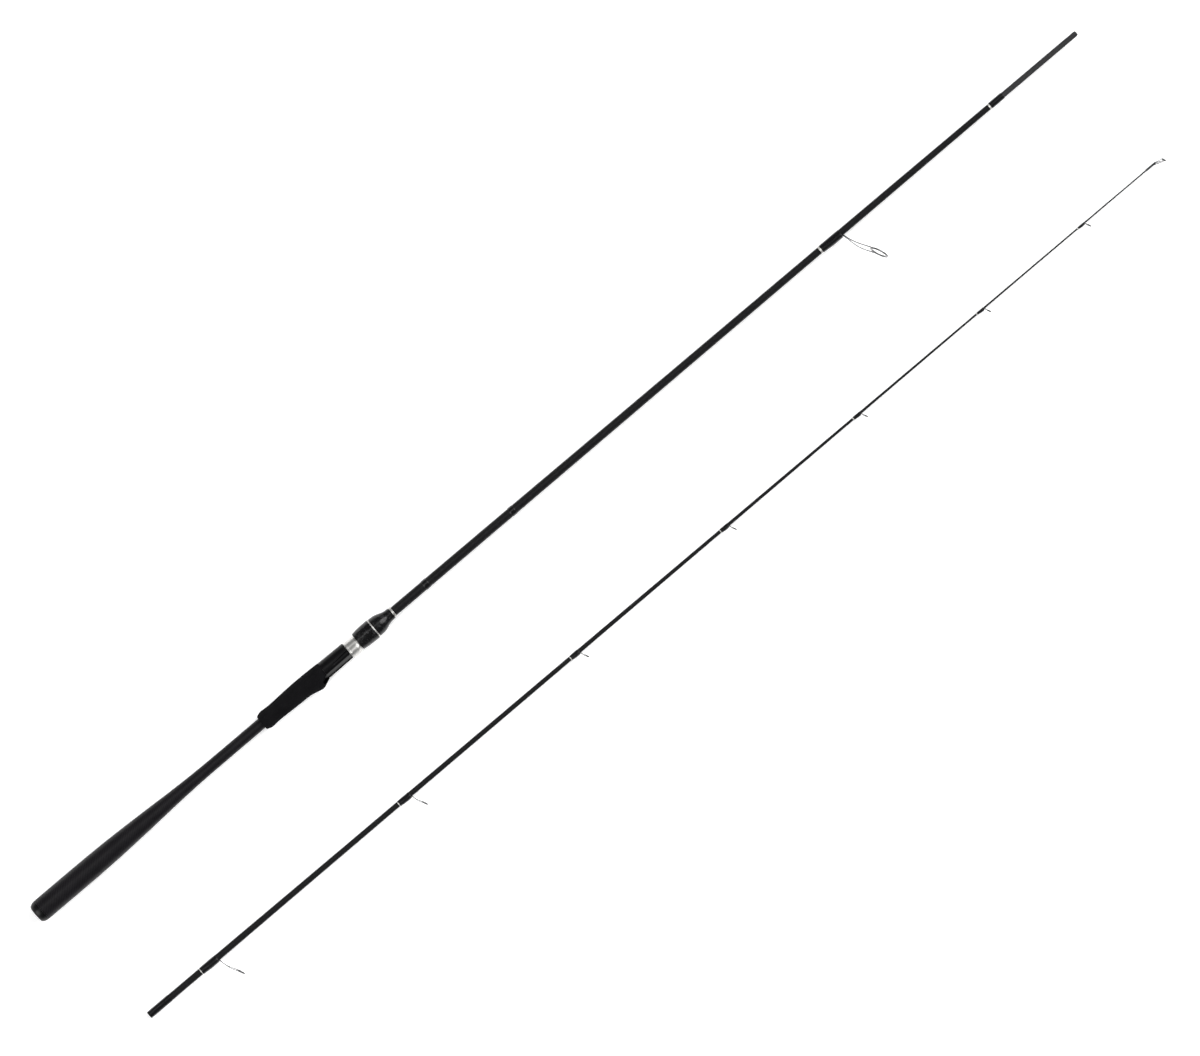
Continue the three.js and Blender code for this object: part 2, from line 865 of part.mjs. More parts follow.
const stripper = guideSizes(STRIPPER, buttRadius);
const stripperWrapStart = stripper.root - stripper.wrap;
add(buttSection, "stripper_frame", guideFrame(stripper), gunmetal);
add(buttSection, "stripper_ring", guideRing(stripper), ceramic);
add(
  buttSection,
  "stripper_wrap",
  wrap(stripperWrapStart, stripper.root, buttRadius, 0.45, BLANK_SIDES, stripper),
  gloss,
);
const stripperTrim = collar(
  stripperWrapStart - 2.3,
  stripperWrapStart - CLEARANCE,
  buttRadius(stripperWrapStart - 2.3) + GAP,
  buttRadius(stripperWrapStart) + 0.5,
  BLANK_SIDES,
);
add(buttSection, "stripper_trim", stripperTrim, silver);
const stopWrapStart = FERRULE_SHOULDER - 20;
const stopWrapEnd = FERRULE_SHOULDER - CLEARANCE;
const stopWrap = wrap(stopWrapStart, stopWrapEnd, buttRadius, 0.5, BLANK_SIDES);
add(buttSection, "ferrule_stop_wrap", stopWrap, gloss);
const stopTrim = collar(
  stopWrapStart - 2,
  stopWrapStart - CLEARANCE,
  buttRadius(stopWrapStart - 2) + GAP,
  buttRadius(stopWrapStart) + 0.5,
  BLANK_SIDES,
);
add(buttSection, "ferrule_stop_trim", stopTrim, silver);

add(buttSection, "moving_hood", movingHood(), silver);
add(buttSection, "moving_hood_pad", movingHoodPad(), foam);
add(buttSection, "nut_sleeve", nutSleeve(), gloss);
add(buttSection, "foregrip_rear", foregripRear(), forgedCarbon);
const midRing = collar(NUT_SPLIT + 0.3, NUT_SPLIT + 1.7, NUT_CORE + GAP, 12.85, GRIP_SIDES);
add(buttSection, "nut_mid_ring", midRing, silver);
add(buttSection, "foregrip_front", foregripFront(), forgedCarbon);
add(buttSection, "nut_front_ring", collar(NUT_END, NUT_END + 2.4, 6.2, 7, GRIP_SIDES), silver);

const tipSection = new THREE.Group();
add(tipSection, "ferrule_sleeve", ferruleSleeve(), satinCarbon);
add(tipSection, "tip_blank", tipBlank(), satinCarbon);
const femaleWrap = collar(
  0,
  FEMALE_WRAP_LENGTH,
  SOCKET_WALL_RADIUS + GAP,
  FEMALE_WRAP_RADIUS,
  BLANK_SIDES,
);
add(tipSection, "ferrule_wrap", femaleWrap, gloss);
TIP_GUIDES.forEach((sizes, i) => {
  const guide = guideSizes(sizes, tipRadius);
  const name = `guide_${i + 1}`;
  const sides = guide.root < SOCKET_LENGTH ? BLANK_SIDES : TIP_SIDES;
  add(tipSection, `${name}_frame`, guideFrame(guide), gunmetal);
  add(tipSection, `${name}_ring`, guideRing(guide), ceramic);
  add(
    tipSection,
    `${name}_wrap`,
    wrap(guide.root - guide.wrap, guide.root, tipRadius, 0.35, sides, guide),
    gloss,
  );
});
add(tipSection, "tip_top_frame", tipTopFrame(), gunmetal);
add(tipSection, "tip_top_ring", guideRing(tipTopGuide), ceramic);

buttSection.rotation.x = -ROLL;
tipSection.rotation.x = -ROLL;
buttSection.position.set(0, 0, GRIP_MAX_RADIUS);
tipSection.position.set(TIP_SECTION_START, -SECTION_SPACING, FEMALE_WRAP_RADIUS);

const rod = new THREE.Group();
rod.add(buttSection, tipSection);

// Centres the object's box over the origin, standing on the floor.
const box = new THREE.Box3().setFromObject(rod, true);
const middle = box.getCenter(new THREE.Vector3());
rod.position.set(-middle.x, -middle.y, -box.min.z);

export default rod;
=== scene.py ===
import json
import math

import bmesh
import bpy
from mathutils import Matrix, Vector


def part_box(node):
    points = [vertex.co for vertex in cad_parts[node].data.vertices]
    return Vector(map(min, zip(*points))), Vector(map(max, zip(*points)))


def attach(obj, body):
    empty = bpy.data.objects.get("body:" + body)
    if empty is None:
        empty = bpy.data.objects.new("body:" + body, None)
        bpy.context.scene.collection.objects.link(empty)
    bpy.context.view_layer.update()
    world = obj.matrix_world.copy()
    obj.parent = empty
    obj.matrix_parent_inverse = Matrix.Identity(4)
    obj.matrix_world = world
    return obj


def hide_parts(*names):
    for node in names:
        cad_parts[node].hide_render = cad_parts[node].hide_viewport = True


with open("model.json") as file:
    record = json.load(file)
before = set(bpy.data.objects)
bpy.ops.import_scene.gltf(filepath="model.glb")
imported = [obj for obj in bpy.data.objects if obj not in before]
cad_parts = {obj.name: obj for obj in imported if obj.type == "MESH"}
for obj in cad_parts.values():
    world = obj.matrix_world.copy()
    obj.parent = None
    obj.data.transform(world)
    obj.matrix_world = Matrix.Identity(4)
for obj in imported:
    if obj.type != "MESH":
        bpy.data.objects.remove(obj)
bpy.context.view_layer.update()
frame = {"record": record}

# The looks of a two-piece spinning rod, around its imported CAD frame.
#
# Every piece is modelled in millimetres about its own section's axis: X runs from the section's
# butt end to its tip, and -Y is the side of the line guides and of the reel foot. Its mesh is then
# rolled about that axis and moved to its section, so a material's Object coordinates are measured
# from the section's axis too.

MM = 0.001
TAU = 2 * math.pi
ROLL = math.radians(26)

# ---- Dimensions, in millimetres ------------------------------------------------------------

FERRULE_LENGTH = 113
REAR_TUBE = [
    (9.3, 13.68), (50, 13.66), (88, 13.5), (122, 12.85), (150, 11.7), (183, 10.15),
    (212, 8.6), (240, 7.55), (268, 7.05), (352, 6.85),
]
TUBE_WALL = 1.3
BUTT_BLANK = [
    (27, 5.9), (345, 5.9), (575, 5.82), (705, 5.6), (823, 5.3), (941, 4.95), (1058, 4.7),
    (1176, 4.45), (1293, 4.2), (1411, 3.8), (1490, 3.55),
]
MALE_ROOT_RADIUS = 3.4
MALE_TIP_RADIUS = 3.25

FOAM = [
    (348, 9.3), (353, 11.25), (357, 11.65), (362, 11.2), (368, 11), (381, 11.4), (397, 12),
    (411, 12.2), (430, 11.9), (443.2, 11.4),
]
FOAM_BUMP = [(405, 0), (413, 0.4), (420, 1.9), (426, 3.6), (430, 4.2), (434, 3.4), (439, 1.4), (443.2, 0)]
SEAT_START = 381
SEAT_BORE = 6.8
SEAT_RADIUS = 9.3
HOOD_BUMP = [(417, 0), (422, 2.2), (428, 3.7), (432, 3.5), (437, 1.8), (441, 0.6), (443.2, 0)]
FIXED_HOOD_RADIUS = 9.8
CRADLE_START = 443.5
CRADLE_END = 480.3
BARREL_RADIUS = 8.15
BED_HEIGHT = 8
FOOT_WIDTH = 12
KEYWAY_WIDTH = 3.4
KEY_WIDTH = 2.7
KEYWAY_FLOOR = 7.25
SCOOP_CENTRE = (484, -7.6, 9.2)
SCOOP_RADII = (28, 4.6, 3)

THREAD_START = 498
THREAD_PITCH = 3
THREAD_DEPTH = 0.4
BARREL_THREAD = 7.8
BARREL_END = 530
NUT_THREAD = 8.25

HOOD_START = 480.6
HOOD_END = 495.3
HOOD_RADIUS = 9.4
HOOD_BORE = 8.55
HOOD_SWELL = [(480.6, 3), (483, 3), (491, 2.5), (494, 1.5), (495.3, 0.9)]
NUT_START = 495.8
NUT_SPLIT = 519.5
NUT_SLEEVE_END = 531
NUT_END = 548.6
NUT_CORE = 10.4
FOREGRIP_REAR = [(499, 11.8), (504, 12.35), (512, 12.75)]
FOREGRIP_FRONT = [(524, 12.05), (529, 11.6), (533, 10.6), (536, 9.4), (539, 8.35), (542.5, 7.55)]

# Each winding is (start, end) and each band is a middle, ahead of the seat.
SEAT_ARBOR_STARTS = (388, 446, 500)
THREAD_BAND_MIDDLES = (601, 734)
THREAD_BAND_HALF = 3.5
FERRULE_STOP_WRAP = (1470, 1489.7)
FERRULE_STOP_TRIM = (1468, 1470)
STRIPPER_TRIM = 2.3
TIP_GUIDE_TRIM = 0.9

SOCKET_LENGTH = 130
SOCKET_DEPTH = 119
SOCKET_RADIUS = 4.25
FEMALE_WRAP_LENGTH = 32
FEMALE_WRAP_RADIUS = 4.62
TIP_BLANK = [
    (130.3, 4.05), (240, 3.65), (420, 3.25), (610, 2.85), (800, 2.4), (960, 1.95), (1100, 1.6),
    (1210, 1.3), (1310, 1.1), (1420, 0.95), (1549, 0.8),
]

GUIDE_LEAN = math.radians(25)
GUIDE_LEAD = 0.4
STRIPPER = {"root": 1239, "wrap": 29.5, "height": 52.3, "ring": 10.8}
TIP_GUIDES = [
    {"root": 104.4, "wrap": 24, "height": 34, "ring": 5},
    {"root": 402, "wrap": 17, "height": 21.3, "ring": 3.7},
    {"root": 662.6, "wrap": 12.5, "height": 11.8, "ring": 2.75},
    {"root": 892.5, "wrap": 11.3, "height": 9.4, "ring": 2.6},
    {"root": 1096.4, "wrap": 10.5, "height": 8.2, "ring": 2.5},
    {"root": 1286.9, "wrap": 10.5, "height": 7.4, "ring": 2.4},
    {"root": 1441.9, "wrap": 9.7, "height": 6.6, "ring": 2.4},
]
TIP_TOP = {"start": 1537, "tube": 13, "lead": 11, "height": 4, "ring": 2.4, "wire": 0.33}

# ---- The frame: where each section lies, and each node's body and slot ----------------------


def section(start_node, round_node):
    """A section's matrix, from the node at its butt end and a node turned about its axis."""
    low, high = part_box(round_node)
    axis = (low + high) / 2
    return Matrix.Translation((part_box(start_node)[0].x, axis.y, axis.z))


BUTT = section("butt_cap", "nut_mid_ring")
TIP = section("ferrule_wrap", "ferrule_wrap")
BODY_OF = {n: body for body, nodes in frame["record"]["behaviour"]["bodies"].items() for n in nodes}
SLOT_OF = {part["node"]: part["material_slot"] for part in frame["record"]["subparts"]}

# ---- Profiles -------------------------------------------------------------------------------


def along(stations, x):
    """The value at x on straight lines between (x, value) stations."""
    if x <= stations[0][0]:
        return stations[0][1]
    for (x0, v0), (x1, v1) in zip(stations, stations[1:]):
        if x <= x1:
            return v0 + (v1 - v0) * (x - x0) / (x1 - x0)
    return stations[-1][1]


def smooth_through(stations, step):
    """Points about every step on a smooth curve through (x, value) stations."""
    last = len(stations) - 1

    def slope(i):
        before, after = stations[max(i - 1, 0)], stations[min(i + 1, last)]
        return (after[1] - before[1]) / (after[0] - before[0])

    points = []
    for i, ((x0, v0), (x1, v1)) in enumerate(zip(stations, stations[1:])):
        width = x1 - x0
        count = max(1, round(width / step))
        for t in (k / count for k in range(count)):
            rise = v1 - v0
            a = slope(i) * width - rise
            b = rise - slope(i + 1) * width
            value = v0 + t * rise + t * (1 - t) * ((1 - t) * a + t * b)
            points.append((x0 + t * width, value))
    return points + [tuple(stations[-1])]


def filleted(outline, steps=6):
    """The outline with each corner that has a third number rounded off by about that much."""
    points = []
    for i, corner in enumerate(outline):
        here = Vector(corner[:2])
        if len(corner) == 2:
            points.append(tuple(here))
            continue
        towards = [Vector(outline[k % len(outline)][:2]) - here for k in (i - 1, i + 1)]
        first, last = (here + v.normalized() * min(corner[2], 0.48 * v.length) for v in towards)
        for k in range(steps + 1):
            t = k / steps
            points.append(tuple(first.lerp(here, t).lerp(here.lerp(last, t), t)))
    return points


def bulge(angle, full, none):
    """1 inside the angle full, falling smoothly to 0 at the angle none."""
    t = min(1, max(0, (angle - full) / (none - full)))
    return 1 - t * t * (3 - 2 * t)


def hood_rise(x, from_foot):
    return along(HOOD_RISE, x) * bulge(from_foot, 0.6, 1.5)


def foam_rise(x, from_foot):
    return along(FOAM_RISE, x) * bulge(from_foot, 0.45, 1.6)


HOOD_RISE = smooth_through(HOOD_BUMP, 0.5)
FOAM_RISE = smooth_through(FOAM_BUMP, 0.5)

# ---- Meshes ---------------------------------------------------------------------------------


def solid(verts, faces):
    """A closed object from points and faces, with its faces turned outwards."""
    mesh = bpy.data.meshes.new("solid")
    mesh.from_pydata([tuple(v) for v in verts], [], faces)
    bm = bmesh.new()
    bm.from_mesh(mesh)
    bmesh.ops.recalc_face_normals(bm, faces=bm.faces)
    if bm.calc_volume(signed=True) < 0:
        bmesh.ops.reverse_faces(bm, faces=bm.faces)
    bm.to_mesh(mesh)
    bm.free()
    made = bpy.data.objects.new("solid", mesh)
    bpy.context.scene.collection.objects.link(made)
    return made


def turned(outline, sides=96, radius_at=None):
    """A body turned about X from a closed outline of (x, radius) points.

    radius_at(x, radius, angle, from_foot) may move each point in or out. angle is about +X, and
    from_foot is how far round it is from the -Y side.
    """
    verts, rings = [], []
    for x, radius in outline:
        if radius == 0:
            rings.append([len(verts)] * sides)
            verts.append((x, 0, 0))
            continue
        rings.append(range(len(verts), len(verts) + sides))
        for k in range(sides):
            angle = TAU * k / sides
            from_foot = abs(math.pi - angle)
            r = radius_at(x, radius, angle, from_foot) if radius_at else radius
            verts.append((x, r * math.cos(angle), r * math.sin(angle)))
    faces = []
    for here, there in zip(rings, [*rings[1:], rings[0]]):
        for k in range(sides):
            corners = [here[k], there[k], there[(k + 1) % sides], here[(k + 1) % sides]]
            face = [v for i, v in enumerate(corners) if v not in corners[:i]]
            if len(face) > 2:
                faces.append(face)
    return solid(verts, faces)


def prism(outline, width):
    """An outline of (x, y) extruded evenly about z = 0."""
    count = len(outline)
    verts = [(x, y, side * width / 2) for side in (-1, 1) for x, y in outline]
    walls = [(k, (k + 1) % count, (k + 1) % count + count, k + count) for k in range(count)]
    return solid(verts, [tuple(range(count)), tuple(range(count, 2 * count)), *walls])


def smooth_path(points, steps=16):
    """Points on a smooth curve through the given ones, its two ends included."""
    ends = [2 * points[0] - points[1], *points, 2 * points[-1] - points[-2]]
    path = []
    for before, a, b, after in zip(ends, ends[1:], ends[2:], ends[3:]):
        for t in (k / steps for k in range(steps)):
            path.append(
                0.5
                * (
                    2 * a
                    + (b - before) * t
                    + (2 * before - 5 * a + 4 * b - after) * t * t
                    + (3 * a - before - 3 * b + after) * t**3
                )
            )
    return path + [points[-1]]


def swept(path, widths, depths, across, sides=16):
    """A rod along a path. Its section is an oval, widths[i] across and depths[i] deep."""
    verts, last = [], len(path) - 1
    for i, point in enumerate(path):
        run = (path[min(i + 1, last)] - path[max(i - 1, 0)]).normalized()
        side = (across - run * across.dot(run)).normalized()
        up = run.cross(side)
        for k in range(sides):
            angle = TAU * k / sides
            oval = side * (widths[i] * math.cos(angle)) + up * (depths[i] * math.sin(angle))
            verts.append(point + oval)
    faces = [tuple(range(sides)), tuple(range(last * sides, (last + 1) * sides))]
    for i in range(last):
        for k in range(sides):
            a, b = i * sides + k, i * sides + (k + 1) % sides
            faces.append((a, b, b + sides, a + sides))
    return solid(verts, faces)


def combined(target, tools, operation):
    """The target with each tool cut away (DIFFERENCE) or joined on (UNION)."""
    for tool in tools:
        step = target.modifiers.new("step", "BOOLEAN")
        step.operation = operation
        step.solver = "EXACT"
        step.object = tool
    view = bpy.context.evaluated_depsgraph_get()
    mesh = bpy.data.meshes.new_from_object(target.evaluated_get(view))
    target.modifiers.clear()
    target.data = mesh
    for tool in tools:
        bpy.data.objects.remove(tool)
    return target


def place(made, name, matrix, node, look=None, stands_for=True, crease=35):
    """Puts a millimetre solid on its section: it rides on the node's body, in the node's slot."""
    mesh = made.data
    mesh.transform(Matrix.Rotation(-ROLL, 4, "X") @ Matrix.Scale(MM, 4))
    mesh.shade_smooth()
    mesh.set_sharp_from_angle(angle=math.radians(crease))
    mesh.materials.clear()
    mesh.materials.append(look or LOOKS[SLOT_OF[node]])
    made.name = mesh.name = name
    made.matrix_world = matrix
    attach(made, BODY_OF[node])
    if stands_for:
        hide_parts(node)
    return made


# ---- Materials ------------------------------------------------------------------------------


class Look:
    """A Principled material built from nodes. Its textures are in millimetres."""

    def __init__(self, name, constants):
        self.material = bpy.data.materials.new(name)
        self.material.use_nodes = True
        self.tree = self.material.node_tree
        self.shader = self.tree.nodes["Principled BSDF"]
        for socket, value in constants.items():
            self.shader.inputs[socket].default_value = value
        coordinates = self.node("TexCoord").outputs["Object"]
        scaled = self.node("VectorMath", {0: coordinates, "Scale": 1 / MM}, operation="SCALE")
        self.point = scaled.outputs[0]
        parts = self.node("SeparateXYZ", {0: self.point})
        self.x = parts.outputs["X"]
        self.angle = self.math("ARCTAN2", parts.outputs["Z"], parts.outputs["Y"])

    def node(self, kind, inputs=None, **settings):
        made = self.tree.nodes.new("ShaderNode" + kind)
        for name, value in settings.items():
            setattr(made, name, value)
        for socket, value in (inputs or {}).items():
            if isinstance(value, bpy.types.NodeSocket):
                self.tree.links.new(value, made.inputs[socket])
            else:
                made.inputs[socket].default_value = value
        return made

    def math(self, operation, a, b=0.0, c=0.0):
        return self.node("Math", {0: a, 1: b, 2: c}, operation=operation).outputs[0]

    def vector(self, x, y, z=0.0):
        return self.node("CombineXYZ", {0: x, 1: y, 2: z}).outputs[0]

    def noise(self, scale, detail=3.0, vector=None, rough=0.5):
        inputs = {"Vector": vector or self.point, "Scale": scale, "Detail": detail, "Roughness": rough}
        return self.node("TexNoise", inputs).outputs[0]

    def spread(self, value, low, high, start=0.3, end=0.7):
        """value from start to end, turned into low to high."""
        inputs = {"Value": value, "From Min": start, "From Max": end, "To Min": low, "To Max": high}
        return self.node("MapRange", inputs).outputs[0]

    def mix(self, factor, a, b):
        inputs = {0: factor, 6: (*a, 1) if isinstance(a, tuple) else a}
        inputs[7] = (*b, 1) if isinstance(b, tuple) else b
        return self.node("Mix", inputs, data_type="RGBA").outputs[2]

    def choose(self, factor, a, b):
        return self.node("Mix", {0: factor, 2: a, 3: b}, data_type="FLOAT").outputs[0]

    def finish(self, color=None, roughness=None, height=None, depth=0.1, coat_height=None):
        """Links the colour and roughness, and a bump that is depth mm high."""
        links = {"Base Color": color, "Roughness": roughness}
        if height is not None:
            bump = {"Height": height, "Distance": depth * MM, "Strength": 1.0}
            links["Normal"] = self.node("Bump", bump).outputs[0]
        for socket, value in links.items():
            if value is not None:
                self.tree.links.new(value, self.shader.inputs[socket])
        return self.material


def carbon_weave_look():
    """A 2x2 twill of carbon tows, along and round the tube, under a satin lacquer."""
    tow, tows_round = 1.0, 88
    lacquer = {"Specular IOR Level": 0.12, "Coat Weight": 0.08, "Coat Roughness": 0.25}
    look = Look("carbon_weave_look", lacquer)
    p = look.math("DIVIDE", look.x, tow)
    q = look.math("MULTIPLY", look.angle, tows_round / TAU)
    cell = look.math("ADD", look.math("FLOOR", p), look.math("FLOOR", q))
    lengthwise = look.math("LESS_THAN", look.math("FLOORED_MODULO", cell, 4.0), 1.5)
    crown = look.choose(
        lengthwise,
        look.math("PINGPONG", p, 0.5),
        look.math("PINGPONG", q, 0.5),
    )
    fibres = look.choose(
        lengthwise,
        look.noise(1.0, 2.0, look.vector(look.math("MULTIPLY", p, 9.0), look.math("MULTIPLY", q, 0.3))),
        look.noise(1.0, 2.0, look.vector(look.math("MULTIPLY", p, 0.3), look.math("MULTIPLY", q, 9.0))),
    )
    patch = look.noise(0.06, 2.0)
    # Painted sheen: the lengthwise tows are coloured lighter than the round ones, as if their fibres caught
    # the light. The fibre noise and the large patches vary the tone at random.
    tone = look.math("ADD", look.math("MULTIPLY", lengthwise, 0.45), look.math("MULTIPLY", fibres, 0.5))
    tone = look.math("MULTIPLY", tone, look.spread(patch, 0.75, 1.25))
    color = look.mix(tone, (0.003, 0.0027, 0.0034), (0.0115, 0.0105, 0.0125))
    roughness = look.spread(fibres, 0.38, 0.52)
    return look.finish(color, roughness, look.math("POWER", crown, 0.6), 0.09)


def blank_look(name, dark, light, roughness, tape_depth):
    """A carbon blank: fine crossed tape turns under its finish."""
    look = Look(name, {"Specular IOR Level": 0.12, "Coat Weight": 0.08, "Coat Roughness": 0.2})
    turns = look.math("DIVIDE", look.angle, TAU)
    spirals = []
    for pitch, way in ((3.2, 1), (3.2, -1)):
        advance = look.math("MULTIPLY_ADD", turns, way, look.math("DIVIDE", look.x, pitch))
        spirals.append(look.math("PINGPONG", advance, 0.5))
    tape = look.math("MULTIPLY", spirals[0], spirals[1])
    grain = look.noise(
        1.0, 4.0, look.vector(look.math("MULTIPLY", look.x, 0.25), look.math("MULTIPLY", look.angle, 9.0))
    )
    mottle = look.noise(0.35, 3.0)
    tone = look.math("MULTIPLY", look.spread(grain, 0.2, 1.0), look.spread(mottle, 0.6, 1.2))
    tone = look.math("MULTIPLY_ADD", tape, 1.2, tone)
    color = look.mix(tone, dark, light)
    return look.finish(color, look.spread(grain, roughness - 0.06, roughness + 0.08), tape, tape_depth)


def ground_ferrule_look():
    """Bare carbon, ground to size: matt, with fine lines round it."""
    look = Look("ground_ferrule_look", {"Specular IOR Level": 0.12})
    lines = look.noise(
        1.0, 3.0, look.vector(look.math("MULTIPLY", look.x, 6.0), look.math("MULTIPLY", look.angle, 0.6))
    )
    mottle = look.noise(0.3, 3.0)
    tone = look.math("MULTIPLY", look.spread(lines, 0.3, 1.0), look.spread(mottle, 0.7, 1.2))
    color = look.mix(tone, (0.012, 0.012, 0.013), (0.045, 0.045, 0.047))
    return look.finish(color, look.spread(lines, 0.55, 0.72), lines, 0.02)


def foam_look():
    """Closed-cell foam: skin of small cut cells."""
    look = Look("eva_foam_look", {"Specular IOR Level": 0.06})
    cells = look.node("TexVoronoi", {"Vector": look.point, "Scale": 2.6}).outputs["Distance"]
    grain = look.noise(1.3, 5.0, rough=0.7)
    shade = look.math("MULTIPLY", look.spread(grain, 0.0, 1.0), look.spread(look.noise(0.09, 2.0), 0.6, 1.3))
    color = look.mix(shade, (0.0025, 0.0025, 0.003), (0.0085, 0.0083, 0.0092))
    height = look.math("MULTIPLY_ADD", cells, 0.6, grain)
    return look.finish(color, look.spread(grain, 0.82, 0.98), height, 0.16)


def plastic_look():
    """Black moulded plastic, satin, with the faint waves of its lacquer."""
    lacquer = {"Specular IOR Level": 0.12, "Coat Weight": 0.12, "Coat Roughness": 0.25}
    look = Look("black_plastic_look", lacquer)
    waves = look.noise(0.25, 2.0)
    specks = look.noise(2.2, 3.0)
    color = look.mix(look.spread(specks, 0.0, 1.0), (0.002, 0.002, 0.0023), (0.005, 0.005, 0.0054))
    return look.finish(color, look.spread(specks, 0.3, 0.42), waves, 0.12)


def forged_look():
    """Chopped carbon: overlapping chips that lie every way, under gloss lacquer."""
    lacquer = {"Specular IOR Level": 0.15, "Coat Weight": 0.3, "Coat Roughness": 0.14}
    look = Look("forged_carbon_look", lacquer)
    warp = look.node("TexNoise", {"Vector": look.point, "Scale": 0.35, "Detail": 2.0}).outputs["Color"]
    bent = look.node("VectorMath", {0: warp, 1: (5.0,) * 3, 2: look.point}, operation="MULTIPLY_ADD")
    chips = look.node("TexVoronoi", {"Vector": bent.outputs[0], "Scale": 0.42})
    tint = look.node("SeparateColor", {0: chips.outputs["Color"]})
    turn = look.math("MULTIPLY", tint.outputs[0], TAU)
    turned_point = look.node(
        "VectorRotate", {"Vector": look.point, "Angle": turn}, rotation_type="AXIS_ANGLE"
    )
    turned_point.inputs["Axis"].default_value = (0.3, 0.5, 0.8)
    strands = look.node("VectorMath", {0: turned_point.outputs[0], 1: (0.25, 4.0, 4.0)}, operation="MULTIPLY")
    fibre = look.noise(1.0, 3.0, strands.outputs[0])
    glint = look.math("POWER", tint.outputs[1], 5.0)
    tone = look.math("MULTIPLY_ADD", glint, look.spread(fibre, 0.1, 1.0), look.spread(fibre, 0.0, 0.08))
    color = look.mix(tone, (0.003, 0.003, 0.0034), (0.045, 0.045, 0.047))
    return look.finish(color, look.spread(fibre, 0.2, 0.36), look.noise(0.3, 2.0), 0.08)


def silver_look():
    """Satin silver metal, faintly turned."""
    look = Look("polished_silver_look", {"Metallic": 1.0})
    lines = look.noise(
        1.0, 3.0, look.vector(look.math("MULTIPLY", look.x, 7.0), look.math("MULTIPLY", look.angle, 0.8))
    )
    tarnish = look.noise(0.4, 3.0)
    color = look.mix(look.spread(tarnish, 0.0, 1.0), (0.7, 0.695, 0.675), (0.6, 0.595, 0.575))
    return look.finish(color, look.spread(lines, 0.38, 0.5), lines, 0.012)


def wrap_look():
    """Black thread turns, seen as fine ridges through a thick gloss epoxy."""
    look = Look("gloss_wrap_look", {"Specular IOR Level": 0.12, "Coat Weight": 0.6, "Coat Roughness": 0.03})
    turn = look.math("MULTIPLY_ADD", look.x, 1 / 0.26, look.math("DIVIDE", look.angle, TAU))
    ridge = look.math("PINGPONG", turn, 0.5)
    strand = look.noise(1.6, 3.0)
    # Painted shade and highlight: the colour follows the thread ridges, darker in the grooves between turns
    # and lighter on their crowns. The strand noise varies it at random.
    tone = look.math("MULTIPLY", ridge, look.spread(strand, 0.6, 1.8))
    color = look.mix(tone, (0.0025, 0.0025, 0.003), (0.012, 0.012, 0.0135))
    look.tree.links.new(look.math("MULTIPLY_ADD", ridge, 0.2, 0.22), look.shader.inputs["Roughness"])
    bump = {"Height": look.math("POWER", ridge, 0.6), "Distance": 0.05 * MM, "Strength": 0.6}
    look.tree.links.new(look.node("Bump", bump).outputs[0], look.shader.inputs["Normal"])
    wave = {"Height": look.noise(0.3, 1.0), "Distance": 0.1 * MM, "Strength": 1.0}
    look.tree.links.new(look.node("Bump", wave).outputs[0], look.shader.inputs["Coat Normal"])
    return look.finish(color)


def gunmetal_look():
    """Polished dark-plated steel."""
    look = Look("guide_frame_look", {"Metallic": 1.0})
    stain = look.noise(0.7, 3.0)
    grain = look.noise(6.0, 3.0)
    color = look.mix(look.spread(stain, 0.0, 1.0), (0.1, 0.103, 0.108), (0.18, 0.183, 0.188))
    return look.finish(color, look.spread(grain, 0.2, 0.34), grain, 0.01)


def ceramic_look():
    """Dense dark ceramic, polished."""
    look = Look("ceramic_ring_look", {"Specular IOR Level": 0.75, "Coat Weight": 0.4, "Coat Roughness": 0.04})
    grain = look.noise(3.5, 4.0)
    color = look.mix(look.spread(grain, 0.0, 1.0), (0.012, 0.013, 0.015), (0.028, 0.029, 0.032))
    return look.finish(color, look.spread(grain, 0.08, 0.16), grain, 0.006)


def cork_look():
    """Composition cork: brown grains with darker ones among them."""
    look = Look("arbor_cork_look", {"Specular IOR Level": 0.25})
    grains = look.node("TexVoronoi", {"Vector": look.point, "Scale": 0.9})
    tint = look.node("SeparateColor", {0: grains.outputs["Color"]}).outputs[0]
    color = look.mix(tint, (0.09, 0.048, 0.022), (0.34, 0.2, 0.1))
    return look.finish(color, look.spread(tint, 0.8, 0.95, 0, 1), grains.outputs["Distance"], 0.2)


LOOKS = {
    "carbon_weave": carbon_weave_look(),
    "satin_blank": blank_look(
        "satin_blank_look", dark=(0.0028, 0.0028, 0.0032), light=(0.014, 0.014, 0.0152),
        roughness=0.36, tape_depth=0.035,
    ),
    "eva_foam": foam_look(),
    "black_plastic": plastic_look(),
    "forged_carbon": forged_look(),
    "polished_silver": silver_look(),
    "gloss_wrap": wrap_look(),
    "guide_frame": gunmetal_look(),
    "ceramic_ring": ceramic_look(),
    "arbor_cork": cork_look(),
}

# ---- Butt section: grip tube, blank, arbors --------------------------------------------------


def butt_radius(x):
    return along(BUTT_BLANK, x)


def rear_grip():
    start, top = REAR_TUBE[0]
    flat, dome = 8.9, [math.radians(90 - 6 * k) for k in range(16)]
    crown = [((start - 0.3) * (1 - math.sin(a)), flat + (top - flat) * math.cos(a)) for a in dome]
    spigot = top - TUBE_WALL - 0.1
    cap = [(0, 0), *crown[:-1], (start - 0.3, top, 0.25), (start - 0.3, spigot), (24, spigot, 1), (24, 0)]
    place(turned(filleted(cap), 128), "butt_cap_fine", BUTT, "butt_cap")

    outside = smooth_through(REAR_TUBE, 3)
    inside = [(x, max(r - TUBE_WALL, 6.02)) for x, r in REAR_TUBE[::-1]]
    tube = [(*outside[0], 0.25), *outside[1:-1], (*outside[-1], 0.3), *inside]
    place(turned(filleted(tube), 128), "rear_grip_tube_fine", BUTT, "rear_grip_tube")


